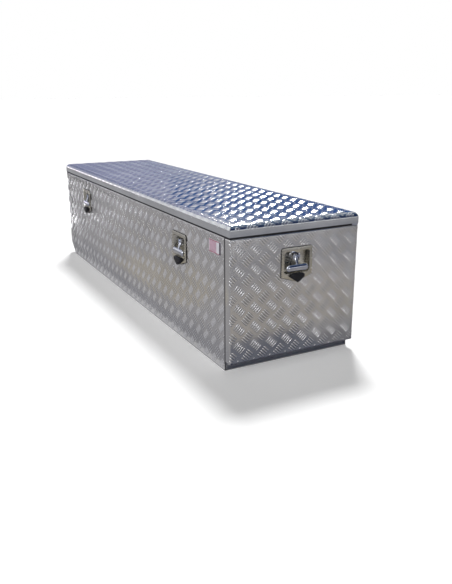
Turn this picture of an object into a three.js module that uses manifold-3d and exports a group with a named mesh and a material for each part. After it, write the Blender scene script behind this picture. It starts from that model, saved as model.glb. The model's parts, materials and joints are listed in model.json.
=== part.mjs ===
// A long aluminium chest of folded tread plate. Its lid is hinged along the rear edge, and its near end
// has a drop-down door. Millimetres, +Z up. X runs along the chest with the door at +X, -Y is the long front
// with two locks, and the lid's hinge is at +Y. The origin is on the floor's underside, at the chest's middle.
import * as THREE from "three";
import { mergeVertices } from "three/addons/utils/BufferGeometryUtils.js";
import Module from "manifold-3d";

const wasm = await Module();
wasm.setup();

// Driving dimensions of the chest
const chest = { length: 1940, width: 500, bodyHeight: 452, seam: 6.4, lidHeight: 39.6 };
const sheet = 3;
const rearSetback = 2;
const rim = { width: 28, upstand: 14 };
const toe = { length: 68, height: 58, lip: 20 };
const lid = { roll: 20, rollSteps: 4, lipClearance: 2 };
const door = { depth: 32, gap: 2, jamb: 45, sill: 45, header: 47 };
const fit = { seat: 0.3, running: 0.3, overrun: 5, weld: 1e-4 };

// Piano hinges: the lid's knuckles fill the seam, the door's hang under the door
const lidHinge = { leaf: 25, plate: 1.5, pin: 1.3, knuckles: 19, endInset: 6, notch: 0.8, spacing: 0.5 };
const doorHinge = {
  height: 30,
  radius: 2.9,
  leaf: 22,
  plate: 1.2,
  pin: 1.3,
  knuckles: 7,
  endInset: 8,
  notch: 0.8,
  spacing: 0.5,
  standOff: 0.5,
};
const knuckleSides = 10;

// Rubber seals
const lidSeal = { width: 12, height: 9.7 };
const doorSeal = { width: 12, edge: 1 };

// Locks: heights are from the spindle's axis, depths from the outer face of the panel
const lock = { belowTop: 83, frontInset: 385 };
const lockPlate = { halfWidth: 60, top: 34, sideBottom: -63, vBottom: -83.5, corner: 6, thickness: 2 };
const gasket = { thickness: 1.5, proud: 1 };
const dish = { halfWidth: 49.5, top: 22, bottom: -53, depth: 30, corner: 6, wall: 1.5, panelClearance: 1 };
const spindle = {
  headRadius: 15,
  headFront: 12,
  slotHalfWidth: 8.3,
  shaftRadius: 8,
  neckRadius: 4.5,
  length: 64,
  sides: 16,
};
const handle = {
  pivotDepth: 12,
  hubRadius: 9.5,
  hubHalfWidth: 8,
  stemHalfWidth: 5,
  stemThickness: 9,
  barHalfLength: 43,
  barDrop: 35.5,
  barHalfHeight: 12,
  barProud: 5.5,
  barThickness: 14,
  barBevel: 2.5,
  barEndSteps: 6,
  barBevelSteps: 2,
};
const handlePin = { radius: 3, halfLength: 14, sides: 10 };
const cam = { depth: 48, thickness: 4, halfWidth: 11, reach: 62, endSteps: 8 };
const camNut = { radius: 8.1, thickness: 7, sides: 6 };
const barrel = { drop: 67, radius: 9, headRadius: 10.5, headThickness: 1.5, length: 26, sides: 12 };
const keyPlug = { radius: 6, proud: 0.5, tail: 3, slotHalfWidth: 0.7, slotHalfHeight: 3.6, slotDepth: 8 };
const cap = {
  topHalfWidth: 18.5,
  halfWidth: 26,
  top: -53.5,
  upperShoulder: -59.5,
  lowerShoulder: -65,
  bottom: -84,
  thickness: 12,
  bevel: 3.5,
  pocketRadius: 11.5,
  pocketDepth: 3.2,
};

// Strikes that the cams turn behind
const lidStrike = { width: 30, aside: 32, lipReach: 9, foot: 22, behindCam: 4, lipThickness: 3 };
const doorStrike = { halfWidth: 25, plate: 3, foot: 16, overlap: 24 };

// Lid stiffeners, gas struts and their brackets
const stiffener = {
  place: 310,
  halfTop: 20,
  halfBottom: 16,
  flange: 15,
  depth: 22,
  plate: 2,
  halfLength: 205,
};
const strut = {
  inset: 17,
  eyeRadius: 9,
  eyeWidth: 8,
  tubeRadius: 9,
  rodRadius: 4,
  neckRadius: 5,
  tubeStart: 14,
  boreStart: 20,
  rodStart: 24,
  exposed: 60,
  studRadius: 4,
  sides: 12,
};
const strutFoot = { behind: 69, below: 193 };
const strutHead = { behind: 150, above: 13 };
const bracket = { plate: 3, gap: 6, foot: 18, halfHeight: 28, nose: 10, lidHalfLength: 20 };

// Blank label on the front
const label = { fromDoor: 60, belowTop: 20, width: 83, height: 44, thickness: 0.4 };

// Planes worked out from the driving dimensions
const frontY = -chest.width / 2;
const rearY = chest.width / 2 - rearSetback;
const farX = -chest.length / 2;
const doorX = chest.length / 2;
const doorBackX = doorX - door.depth;
const nearX = doorBackX - door.gap;
const bodyTop = chest.bodyHeight;
const lidBottom = bodyTop + chest.seam;
const lidTop = lidBottom + chest.lidHeight;
const frontInner = frontY + sheet;
const rearInner = rearY - sheet;
const farInner = farX + sheet;
const nearInner = nearX - sheet;
const rimUnder = bodyTop - sheet;
const rimTop = bodyTop + rim.upstand;
const lidUnder = lidTop - sheet;
const spindleZ = bodyTop - lock.belowTop;
const lidKnuckle = chest.seam / 2 - fit.running;
const lidAxis = { y: chest.width / 2 - lidKnuckle, z: bodyTop + chest.seam / 2 };
const doorAxis = { x: nearX + doorHinge.standOff + doorHinge.radius, z: doorHinge.height };
const doorBottom = doorAxis.z + doorHinge.radius + fit.running;
const lidLipEdge = rearY - rim.width + lid.lipClearance;
const plateBack = gasket.thickness;
const plateFront = plateBack + lockPlate.thickness;
const dishFloor = dish.depth - plateFront;
const camBack = cam.depth + cam.thickness;
const barrelSeat = plateFront + fit.seat;
const strutX = nearX - rim.width - sheet - strut.inset;

// Materials
function finish(color, roughness, metalness) {
  return new THREE.MeshStandardMaterial({ color, roughness, metalness });
}

const treadPlate = finish(0xb9b8b3, 0.42, 0.9);
const plainAluminium = finish(0xb2b2b0, 0.5, 0.9);
const stainless = finish(0xb6b2a4, 0.32, 1);
const chrome = finish(0xd5d8de, 0.12, 1);
const zincSteel = finish(0xa9abad, 0.45, 1);
const rubber = finish(0x141414, 0.8, 0);
const paintedBlack = finish(0x1b1c1e, 0.4, 0.2);
const labelFilm = finish(0xece9e8, 0.5, 0);

const root = new THREE.Group();

// A geometry with welded corners as a solid that can be cut and joined
function solidOf(geometry) {
  const bare = geometry.clone();
  bare.deleteAttribute("normal");
  bare.deleteAttribute("uv");
  const welded = mergeVertices(bare, fit.weld);
  return new wasm.Manifold(
    new wasm.Mesh({
      numProp: 3,
      vertProperties: new Float32Array(welded.attributes.position.array),
      triVerts: new Uint32Array(welded.index.array),
    }),
  );
}

function geometryOf(solid) {
  const mesh = solid.getMesh();
  const geometry = new THREE.BufferGeometry();
  geometry.setAttribute("position", new THREE.BufferAttribute(mesh.vertProperties, mesh.numProp));
  geometry.setIndex(new THREE.BufferAttribute(mesh.triVerts, 1));
  geometry.computeVertexNormals();
  return geometry;
}

function join(...geometries) {
  return geometryOf(geometries.map(solidOf).reduce((whole, piece) => whole.add(piece)));
}

function cut(geometry, ...tools) {
  return geometryOf(tools.map(solidOf).reduce((whole, tool) => whole.subtract(tool), solidOf(geometry)));
}

function node(name, geometry, material, parent = root) {
  const mesh = new THREE.Mesh(geometry, material);
  mesh.name = name;
  parent.add(mesh);
  return mesh;
}

function box(x0, x1, y0, y1, z0, z1) {
  const geometry = new THREE.BoxGeometry(x1 - x0, y1 - y0, z1 - z0);
  return geometry.translate((x0 + x1) / 2, (y0 + y1) / 2, (z0 + z1) / 2);
}

const toX = new THREE.Vector3(1, 0, 0);
const toY = new THREE.Vector3(0, 1, 0);
const toZ = new THREE.Vector3(0, 0, 1);
const alongX = new THREE.Matrix4().makeBasis(toY, toZ, toX);
const alongY = new THREE.Matrix4().makeBasis(toX, toZ, toY.clone().negate());

function extruded(points, depth, options = {}) {
  const shape = new THREE.Shape(points.map(([a, b]) => new THREE.Vector2(a, b)));
  return new THREE.ExtrudeGeometry(shape, { depth, bevelEnabled: false, ...options });
}

// Prisms along each axis: the outline's points are (y, z), (x, z) and (x, y)
function prismX(points, x0, x1) {
  return extruded(points, x1 - x0).translate(0, 0, x0).applyMatrix4(alongX);
}

function prismY(points, y0, y1) {
  return extruded(points, y1 - y0).translate(0, 0, -y1).applyMatrix4(alongY);
}

function prismZ(points, z0, z1) {
  return extruded(points, z1 - z0).translate(0, 0, z0);
}

// Points of an arc, the end included, and of a whole circle
function arc(centre, radius, from, to, steps) {
  return Array.from({ length: steps + 1 }, (_, i) => {
    const angle = from + ((to - from) * i) / steps;
    return [centre[0] + radius * Math.cos(angle), centre[1] + radius * Math.sin(angle)];
  });
}

function circle(centre, radius, sides) {
  return arc(centre, radius, 0, 2 * Math.PI, sides).slice(0, -1);
}

// The section of a folded sheet: its outer face follows the points, and the sheet lies to their right
function folded(points, thickness) {
  const normals = points.slice(1).map(([a, b], i) => {
    const run = [a - points[i][0], b - points[i][1]];
    const length = Math.hypot(...run);
    return [run[1] / length, -run[0] / length];
  });
  const inner = points.map(([a, b], i) => {
    const before = normals[Math.max(i - 1, 0)];
    const after = normals[Math.min(i, normals.length - 1)];
    const mitre = thickness / (1 + before[0] * after[0] + before[1] * after[1]);
    return [a + (before[0] + after[0]) * mitre, b + (before[1] + after[1]) * mitre];
  });
  return [...points, ...inner.reverse()];
}

// A block whose four top edges are rolled over, with mitred corners
function rolledBlock(x0, x1, y0, y1, z0, z1, radius) {
  const rolled = arc([radius, z1 - radius], radius, Math.PI, Math.PI / 2, lid.rollSteps);
  const rings = [[0, z0], ...rolled];
  const positions = rings.flatMap(([inset, z]) => [
    [x0 + inset, y0 + inset, z],
    [x1 - inset, y0 + inset, z],
    [x1 - inset, y1 - inset, z],
    [x0 + inset, y1 - inset, z],
  ]);
  const corners = positions.length / rings.length;
  const faces = [
    [0, 2, 1],
    [0, 3, 2],
  ];
  for (let ring = 0; ring + 1 < rings.length; ring++) {
    for (let corner = 0; corner < corners; corner++) {
      const a = ring * corners + corner;
      const b = ring * corners + ((corner + 1) % corners);
      faces.push([a, b, b + corners], [a, b + corners, a + corners]);
    }
  }
  const last = (rings.length - 1) * corners;
  faces.push([last, last + 1, last + 2], [last, last + 2, last + 3]);
  const geometry = new THREE.BufferGeometry();
  geometry.setAttribute("position", new THREE.BufferAttribute(new Float32Array(positions.flat()), 3));
  geometry.setIndex(faces.flat());
  return geometry;
}

// Where each lock sits: the group's origin is on its spindle's axis at the panel's outer face, +Y inward
function lockGroup(x, y, turn) {
  const group = new THREE.Group();
  group.position.set(x, y, spindleZ);
  group.rotation.z = turn;
  root.add(group);
  group.updateMatrixWorld(true);
  return group;
}

const nearLock = lockGroup(doorX - lock.frontInset, frontY, 0);
const farLock = lockGroup(farX + lock.frontInset, frontY, 0);
const doorLock = lockGroup(doorX, 0, Math.PI / 2);

function dishOutline(grow) {
  const half = dish.halfWidth + grow;
  const top = dish.top + grow;
  const bottom = dish.bottom - grow;
  const corner = dish.corner;
  return [
    [-half, bottom + corner],
    [-half + corner, bottom],
    [half - corner, bottom],
    [half, bottom + corner],
    [half, top - corner],
    [half - corner, top],
    [-half + corner, top],
    [-half, top - corner],
  ];
}

// Cut-outs that a panel needs for a lock's dish and barrel
function lockCutouts(group) {
  const through = [-fit.overrun, sheet + fit.overrun];
  const dishHole = prismY(dishOutline(dish.wall + dish.panelClearance), ...through);
  const barrelOutline = circle([0, -barrel.drop], barrel.radius + dish.panelClearance, barrel.sides);
  const barrelHole = prismY(barrelOutline, ...through);
  return [dishHole, barrelHole].map((tool) => tool.applyMatrix4(group.matrixWorld));
}

// Body

// The outline of a long side: straight but for the cut toe at the far bottom corner
function sideOutline() {
  return [
    [farX + toe.length, 0],
    [nearX, 0],
    [nearX, bodyTop],
    [farX, bodyTop],
    [farX, toe.height],
  ];
}

function frontPanel() {
  const wall = prismY(sideOutline(), frontY, frontInner);
  const flange = box(farX, nearX, frontY, frontY + rim.width + sheet, rimUnder, bodyTop);
  const upstand = box(
    farX + rim.width,
    nearX - rim.width,
    frontY + rim.width,
    frontY + rim.width + sheet,
    rimUnder,
    rimTop,
  );
  return cut(join(wall, flange, upstand), ...lockCutouts(nearLock), ...lockCutouts(farLock));
}

function rearPanel() {
  const wall = prismY(sideOutline(), rearInner, rearY);
  const flange = box(farX, nearX, rearY - rim.width - sheet, rearY, rimUnder, bodyTop);
  const upstand = box(
    farX + rim.width,
    nearX - rim.width,
    rearY - rim.width - sheet,
    rearY - rim.width,
    rimUnder,
    rimTop,
  );
  return join(wall, flange, upstand);
}

// The rims of the ends fit between the rims of the long sides
const endRim = { y0: frontY + rim.width + sheet, y1: rearY - rim.width - sheet };

function farEndPanel() {
  const floorLip = [farX + toe.length + toe.lip, 0];
  const bends = [floorLip, [farX + toe.length, 0], [farX, toe.height]];
  const wall = prismY(folded([...bends, [farX, rimUnder]], sheet), frontInner, rearInner);
  const rimFold = [
    [farX, rimUnder - rim.width],
    [farX, bodyTop],
    [farX + rim.width, bodyTop],
    [farX + rim.width, rimTop],
  ];
  return join(wall, prismY(folded(rimFold, sheet), endRim.y0, endRim.y1));
}

function floorPanel() {
  return box(farX + toe.length + toe.lip, nearInner, frontInner, rearInner, 0, sheet);
}

const doorway = {
  y0: frontY + door.jamb,
  y1: rearY - door.jamb,
  z0: door.sill,
  z1: bodyTop - door.header,
};

function nearEndFrame() {
  const wall = box(nearInner, nearX, frontInner, rearInner, 0, rimUnder);
  const opening = box(
    nearInner - fit.overrun,
    nearX + fit.overrun,
    doorway.y0,
    doorway.y1,
    doorway.z0,
    doorway.z1,
  );
  const rimFold = [
    [nearX - rim.width, rimTop],
    [nearX - rim.width, bodyTop],
    [nearX, bodyTop],
    [nearX, rimUnder - sheet],
  ];
  return join(cut(wall, opening), prismY(folded(rimFold, sheet), endRim.y0, endRim.y1));
}

node("front_panel", frontPanel(), treadPlate);
node("rear_panel", rearPanel(), treadPlate);
node("far_end_panel", farEndPanel(), treadPlate);
node("floor_panel", floorPanel(), treadPlate);
node("near_end_frame", nearEndFrame(), plainAluminium);

// Lid
function lidSkin() {
  const outer = rolledBlock(farX, doorX, frontY, rearY, lidBottom, lidTop, lid.roll);
  const inner = rolledBlock(
    farX + sheet,
    doorX - sheet,
    frontInner,
    rearInner,
    lidBottom - fit.overrun,
    lidUnder,
    lid.roll - sheet,
  );
  const lip = box(farX + sheet, doorX - sheet, lidLipEdge, rearY - sheet / 2, lidBottom, lidBottom + sheet);
  return join(cut(outer, inner), lip);
}

function lidStiffener(x) {
  const section = [
    [x - stiffener.halfTop - stiffener.flange, lidUnder],
    [x - stiffener.halfTop, lidUnder],
    [x - stiffener.halfBottom, lidUnder - stiffener.depth],
    [x + stiffener.halfBottom, lidUnder - stiffener.depth],
    [x + stiffener.halfTop, lidUnder],
    [x + stiffener.halfTop + stiffener.flange, lidUnder],
  ];
  return prismY(folded(section, stiffener.plate), -stiffener.halfLength, stiffener.halfLength);
}

// A rubber strip inside the skirt along the front and both ends, over the rim and the door's top edge
function lidSealStrip() {
  const z0 = bodyTop + fit.seat;
  const z1 = z0 + lidSeal.height;
  const rearEnd = lidLipEdge - fit.seat;
  const x1 = doorX - sheet;
  const width = lidSeal.width;
  const slab = box(farInner, x1, frontInner, rearEnd, z0, z1);
  const middle = box(
    farInner + width,
    x1 - width,
    frontInner + width,
    rearEnd + fit.overrun,
    z0 - fit.overrun,
    z1 + fit.overrun,
  );
  return cut(slab, middle);
}

// The strike hangs from the lid beside the cam, and its lip lies under the cam once that has turned
function lidHook(spindleX) {
  const x1 = spindleX - lidStrike.aside;
  const x0 = x1 - lidStrike.width;
  const camY = frontY + cam.depth;
  const plateY = camY + cam.thickness + lidStrike.behindCam;
  const lipTop = spindleZ - cam.halfWidth - fit.running;
  const section = [
    [plateY + lidStrike.foot, lidUnder],
    [plateY, lidUnder],
    [plateY, lipTop],
    [plateY - lidStrike.lipReach, lipTop],
    [plateY - lidStrike.lipReach, lipTop - lidStrike.lipThickness],
    [plateY + sheet, lipTop - lidStrike.lipThickness],
    [plateY + sheet, lidUnder - sheet],
    [plateY + lidStrike.foot, lidUnder - sheet],
  ];
  return prismX(section, x0, x1);
}

node("lid_skin", lidSkin(), treadPlate);
node("lid_stiffener_near", lidStiffener(stiffener.place), plainAluminium);
node("lid_stiffener_far", lidStiffener(-stiffener.place), plainAluminium);
node("lid_seal", lidSealStrip(), rubber);
node("lid_strike_near", lidHook(nearLock.position.x), zincSteel);
node("lid_strike_far", lidHook(farLock.position.x), zincSteel);

// Door
function doorSkin() {
  const outer = box(doorBackX, doorX, frontY, rearY, doorBottom, bodyTop);
  const inner = box(
    doorBackX - fit.overrun,
    doorX - sheet,
    frontInner,
    rearInner,
    doorBottom + sheet,
    bodyTop - sheet,
  );
  return cut(outer, inner, ...lockCutouts(doorLock));
}

function doorSealRing() {
  const x1 = doorBackX - fit.seat;
  const y0 = frontY + doorSeal.edge;
  const y1 = rearY - doorSeal.edge;
  const z0 = doorBottom + doorSeal.edge;
  const z1 = bodyTop - doorSeal.edge;
  const width = doorSeal.width;
  const ring = box(nearX, x1, y0, y1, z0, z1);
  const middle = box(
    nearX - fit.overrun,
    x1 + fit.overrun,
    y0 + width,
    y1 - width,
    z0 + width,
    z1 - width,
  );
  return cut(ring, middle);
}

// A bent strip on the header that stands back to meet the cam of the door's lock
function doorStrikeStrip() {
  const face = doorX - cam.depth + fit.running;
  const section = [
    [nearInner, doorway.z1 + doorStrike.overlap + doorStrike.foot],
    [nearInner, doorway.z1 + doorStrike.overlap],
    [face + doorStrike.plate, doorway.z1 + doorStrike.overlap],
    [face + doorStrike.plate, doorway.z1],
  ];
  return prismY(folded(section, doorStrike.plate), -doorStrike.halfWidth, doorStrike.halfWidth);
}

node("door_skin", doorSkin(), treadPlate);
node("door_seal", doorSealRing(), rubber);
node("door_strike", doorStrikeStrip(), zincSteel);

// A piano-hinge leaf. place(away, aside) gives the section's point at a distance from the axis along the leaf
// and towards the side that the plate lies on. Knuckles alternate along the hinge, and first is 0 or 1.
function hingeLeaf(prism, place, hinge, radius, faceAside, from, to, first) {
  const pitch = (to - from) / hinge.knuckles;
  const plateInner = faceAside - hinge.plate;
  const strip = (near, far) => [
    place(near, faceAside),
    place(far, faceAside),
    place(far, plateInner),
    place(near, plateInner),
  ];
  const plate = prism(strip(radius + hinge.notch, hinge.leaf), from, to);
  const round = circle([0, 0], radius, knuckleSides).map(([a, b]) => place(a, b));
  const bore = circle([0, 0], hinge.pin + fit.running, knuckleSides).map(([a, b]) => place(a, b));
  const pieces = [plate];
  for (let i = first; i < hinge.knuckles; i += 2) {
    const start = from + i * pitch + hinge.spacing / 2;
    const end = from + (i + 1) * pitch - hinge.spacing / 2;
    pieces.push(prism(strip(0, hinge.leaf), start, end), prism(round, start, end));
  }
  return cut(join(...pieces), prism(bore, from - fit.overrun, to + fit.overrun));
}

const lidHingeRun = [farX + lidHinge.endInset, nearX - lidHinge.endInset];
const bodySide = (away, aside) => [lidAxis.y - away, lidAxis.z - aside];
const lidSide = (away, aside) => [lidAxis.y - away, lidAxis.z + aside];
const lidLeafFace = chest.seam / 2;

node(
  "lid_hinge_body_leaf",
  hingeLeaf(prismX, bodySide, lidHinge, lidKnuckle, lidLeafFace, ...lidHingeRun, 0),
  plainAluminium,
);
node(
  "lid_hinge_lid_leaf",
  hingeLeaf(prismX, lidSide, lidHinge, lidKnuckle, lidLeafFace, ...lidHingeRun, 1),
  plainAluminium,
);
node(
  "lid_hinge_pin",
  prismX(circle([lidAxis.y, lidAxis.z], lidHinge.pin, knuckleSides), ...lidHingeRun),
  zincSteel,
);

const doorHingeRun = [frontY + doorHinge.endInset, rearY - doorHinge.endInset];
const sillSide = (away, aside) => [doorAxis.x - aside, doorAxis.z - away];
const doorSide = (away, aside) => [doorAxis.x + away, doorAxis.z + aside];
const sillLeafFace = doorAxis.x - nearX;
const doorLeafFace = doorBottom - doorAxis.z;
node(
  "door_hinge_body_leaf",
  hingeLeaf(prismY, sillSide, doorHinge, doorHinge.radius, sillLeafFace, ...doorHingeRun, 0),
  plainAluminium,
);
node(
  "door_hinge_door_leaf",
  hingeLeaf(prismY, doorSide, doorHinge, doorHinge.radius, doorLeafFace, ...doorHingeRun, 1),
  plainAluminium,
);
node(
  "door_hinge_pin",
  prismY(circle([doorAxis.x, doorAxis.z], doorHinge.pin, knuckleSides), ...doorHingeRun),
  zincSteel,
);

// Locks: depth is +Y in a lock's group, and its outward side is -Y

function plateOutline(grow) {
  const half = lockPlate.halfWidth + grow;
  const top = lockPlate.top + grow;
  const corner = lockPlate.corner;
  return [
    [0, lockPlate.vBottom - grow],
    [half, lockPlate.sideBottom - grow],
    [half, top - corner],
    [half - corner, top],
    [-half + corner, top],
    [-half, top - corner],
    [-half, lockPlate.sideBottom - grow],
  ];
}

function lockPlateAndDish() {
  const plate = prismY(plateOutline(0), -plateFront, -plateBack);
  const well = prismY(dishOutline(dish.wall), -plateFront, dishFloor + dish.wall);
  const hollow = prismY(dishOutline(0), -plateFront - fit.overrun, dishFloor);
  const spindleHole = prismY(
    circle([0, 0], spindle.shaftRadius + fit.running, spindle.sides),
    0,
    dishFloor + dish.wall + fit.overrun,
  );
  const barrelHole = prismY(
    circle([0, -barrel.drop], barrel.radius + fit.running, barrel.sides),
    -plateFront - fit.overrun,
    0,
  );
  return cut(join(plate, well), hollow, spindleHole, barrelHole);
}

function lockGasket() {
  const pad = prismY(plateOutline(gasket.proud), -plateBack, 0);
  const dishHole = prismY(dishOutline(dish.wall + fit.running), -plateBack - fit.overrun, fit.overrun);
  const barrelHole = prismY(
    circle([0, -barrel.drop], barrel.radius + fit.running, barrel.sides),
    -plateBack - fit.overrun,
    fit.overrun,
  );
  return cut(pad, dishHole, barrelHole);
}

// The spindle: a round head slotted for the handle's hub, a shaft through the dish, and a neck for the cam
function lockSpindle() {
  const headBack = dishFloor - fit.running;
  const head = prismY(
    circle([0, 0], spindle.headRadius, spindle.sides),
    handle.pivotDepth - spindle.headFront,
    headBack,
  );
  const shaft = prismY(
    circle([0, 0], spindle.shaftRadius, spindle.sides),
    headBack - fit.overrun,
    cam.depth - fit.seat,
  );
  const neck = prismY(
    circle([0, 0], spindle.neckRadius, spindle.sides),
    cam.depth - fit.overrun,
    spindle.length,
  );
  const slot = box(
    -spindle.slotHalfWidth,
    spindle.slotHalfWidth,
    handle.pivotDepth - spindle.headFront - fit.overrun,
    handle.pivotDepth + handle.hubRadius + fit.running,
    -spindle.headRadius - fit.overrun,
    spindle.headRadius + fit.overrun,
  );
  const pinHole = prismX(
    circle([handle.pivotDepth, 0], handlePin.radius + fit.running, handlePin.sides),
    -spindle.headRadius - fit.overrun,
    spindle.headRadius + fit.overrun,
  );
  return cut(join(head, shaft, neck), slot, pinHole);
}

// The T-handle: a hub on the pin, a stem that leans out, and a rounded crossbar for the fingers
function lockHandle() {
  const hub = prismX(
    circle([handle.pivotDepth, 0], handle.hubRadius, spindle.sides),
    -handle.hubHalfWidth,
    handle.hubHalfWidth,
  );
  const pivot = new THREE.Vector2(handle.pivotDepth, 0);
  const barCentre = new THREE.Vector2(-handle.barProud, -handle.barDrop);
  const across = barCentre
    .clone()
    .sub(pivot)
    .normalize()
    .rotateAround(new THREE.Vector2(), Math.PI / 2)
    .multiplyScalar(handle.stemThickness / 2);
  const stemSection = [
    pivot.clone().add(across),
    barCentre.clone().add(across),
    barCentre.clone().sub(across),
    pivot.clone().sub(across),
  ].map((point) => point.toArray());
  const stem = prismX(stemSection, -handle.stemHalfWidth, handle.stemHalfWidth);
  const round = handle.barHalfHeight - handle.barBevel;
  const reach = handle.barHalfLength - handle.barHalfHeight;
  const barOutline = [
    ...arc([reach, 0], round, -Math.PI / 2, Math.PI / 2, handle.barEndSteps),
    ...arc([-reach, 0], round, Math.PI / 2, (3 * Math.PI) / 2, handle.barEndSteps),
  ];
  const bar = extruded(barOutline, handle.barThickness - 2 * handle.barBevel, {
    bevelEnabled: true,
    bevelThickness: handle.barBevel,
    bevelSize: handle.barBevel,
    bevelSegments: handle.barBevelSteps,
  })
    .translate(0, -handle.barDrop, -(handle.barThickness / 2 - handle.barBevel))
    .applyMatrix4(alongY)
    .translate(0, -handle.barProud, 0);
  const pinHole = prismX(
    circle([handle.pivotDepth, 0], handlePin.radius + fit.running, handlePin.sides),
    -spindle.headRadius,
    spindle.headRadius,
  );
  return cut(join(hub, stem, bar), pinHole);
}

function lockHandlePin() {
  return prismX(
    circle([handle.pivotDepth, 0], handlePin.radius, handlePin.sides),
    -handlePin.halfLength,
    handlePin.halfLength,
  );
}

// The cam points the way it rests: turn is its angle from upright towards the lock's left
function lockCam(turn) {
  const tip = cam.reach - cam.halfWidth;
  const outline = [
    ...arc([0, 0], cam.halfWidth, Math.PI, 2 * Math.PI, cam.endSteps),
    ...arc([0, tip], cam.halfWidth, 0, Math.PI, cam.endSteps),
  ];
  const turned = outline.map(([a, b]) => [
    a * Math.cos(turn) - b * Math.sin(turn),
    a * Math.sin(turn) + b * Math.cos(turn),
  ]);
  const hole = prismY(
    circle([0, 0], spindle.neckRadius + fit.seat, spindle.sides),
    cam.depth - fit.overrun,
    camBack + fit.overrun,
  );
  return cut(prismY(turned, cam.depth, camBack), hole);
}

function lockCamNut() {
  const start = camBack + fit.seat;
  const hole = prismY(
    circle([0, 0], spindle.neckRadius + fit.seat, spindle.sides),
    start - fit.overrun,
    start + camNut.thickness + fit.overrun,
  );
  return cut(prismY(circle([0, 0], camNut.radius, camNut.sides), start, start + camNut.thickness), hole);
}

function lockBarrel() {
  const centre = [0, -barrel.drop];
  const front = -barrelSeat - barrel.headThickness;
  const head = prismY(circle(centre, barrel.headRadius, barrel.sides), front, -barrelSeat);
  const tube = prismY(circle(centre, barrel.radius, barrel.sides), front, barrel.length);
  const bore = prismY(
    circle(centre, keyPlug.radius + fit.running, barrel.sides),
    front - fit.overrun,
    barrel.length + fit.overrun,
  );
  return cut(join(head, tube), bore);
}

function lockKeyPlug() {
  const centre = [0, -barrel.drop];
  const front = -barrelSeat - barrel.headThickness - keyPlug.proud;
  const plug = prismY(circle(centre, keyPlug.radius, barrel.sides), front, barrel.length + keyPlug.tail);
  const keyway = box(
    -keyPlug.slotHalfWidth,
    keyPlug.slotHalfWidth,
    front - fit.overrun,
    front + keyPlug.slotDepth,
    -barrel.drop - keyPlug.slotHalfHeight,
    -barrel.drop + keyPlug.slotHalfHeight,
  );
  return cut(plug, keyway);
}

// A rubber weather cap over the barrel, which folds down about its bottom point. It is bevelled in front only.
function lockCap() {
  const inset = cap.bevel;
  const half = cap.halfWidth - inset;
  const outline = [
    [0, cap.bottom + inset],
    [half, cap.lowerShoulder],
    [half, cap.upperShoulder],
    [cap.topHalfWidth, cap.top - inset],
    [-cap.topHalfWidth, cap.top - inset],
    [-half, cap.upperShoulder],
    [-half, cap.lowerShoulder],
  ];
  const dome = extruded(outline, cap.thickness - inset, {
    bevelEnabled: true,
    bevelThickness: inset,
    bevelSize: inset,
    bevelSegments: 1,
  })
    .translate(0, 0, barrelSeat)
    .applyMatrix4(alongY);
  const wide = cap.halfWidth + fit.overrun;
  const front = -barrelSeat - cap.thickness - fit.overrun;
  const back = -barrelSeat + inset + fit.overrun;
  const low = cap.bottom - inset - fit.overrun;
  const behind = box(-wide, wide, -barrelSeat, back, low, cap.top + fit.overrun);
  const below = box(-wide, wide, front, back, low, cap.bottom);
  const pocket = prismY(
    circle([0, -barrel.drop], cap.pocketRadius, barrel.sides),
    -barrelSeat - cap.pocketDepth,
    back,
  );
  return cut(dome, behind, below, pocket);
}

function addLock(name, group, camTurn) {
  node(name + "_plate", lockPlateAndDish(), stainless, group);
  node(name + "_gasket", lockGasket(), rubber, group);
  node(name + "_spindle", lockSpindle(), chrome, group);
  node(name + "_handle", lockHandle(), chrome, group);
  node(name + "_handle_pin", lockHandlePin(), zincSteel, group);
  node(name + "_cam", lockCam(camTurn), zincSteel, group);
  node(name + "_cam_nut", lockCamNut(), zincSteel, group);
  node(name + "_barrel", lockBarrel(), chrome, group);
  node(name + "_key_plug", lockKeyPlug(), chrome, group);
  node(name + "_cap", lockCap(), rubber, group);
}

addLock("near_lock", nearLock, 0);
addLock("far_lock", farLock, 0);
addLock("door_lock", doorLock, -Math.PI / 2);

// Gas struts: the tube hinges on the rear panel's bracket and the rod's eye stands beside the lid's bracket
const footPivot = { y: lidAxis.y - strutFoot.behind, z: lidAxis.z - strutFoot.below };
const headPivot = { y: lidAxis.y - strutHead.behind, z: lidAxis.z + strutHead.above };
const strutLength = Math.hypot(headPivot.y - footPivot.y, headPivot.z - footPivot.z);
const strutLean = Math.atan2(headPivot.z - footPivot.z, headPivot.y - footPivot.y) - Math.PI / 2;

function eye() {
  return prismX(circle([0, 0], strut.eyeRadius, strut.sides), -strut.eyeWidth / 2, strut.eyeWidth / 2);
}

function strutTube() {
  const tubeEnd = strutLength - strut.exposed;
  const neck = prismZ(circle([0, 0], strut.neckRadius, strut.sides), 0, strut.tubeStart + fit.overrun);
  const tube = prismZ(circle([0, 0], strut.tubeRadius, strut.sides), strut.tubeStart, tubeEnd);
  const bore = prismZ(
    circle([0, 0], strut.rodRadius + fit.running, strut.sides),
    strut.boreStart,
    tubeEnd + fit.overrun,
  );
  const studHole = prismX(
    circle([0, 0], strut.studRadius + fit.running, strut.sides),
    -strut.eyeWidth,
    strut.eyeWidth,
  );
  return cut(join(eye(), neck, tube), bore, studHole);
}

function strutRod() {
  const rod = prismZ(circle([0, 0], strut.rodRadius, strut.sides), strut.rodStart, strutLength);
  return join(rod, eye().translate(0, 0, strutLength));
}

// The brackets' plates stand on the outer side of the strut; side is 1 at the near end and -1 at the far end
function ordered(side, a, b) {
  return [side * a, side * b].sort((low, high) => low - high);
}

const bracketX = strutX + strut.eyeWidth / 2 + bracket.gap;

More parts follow.
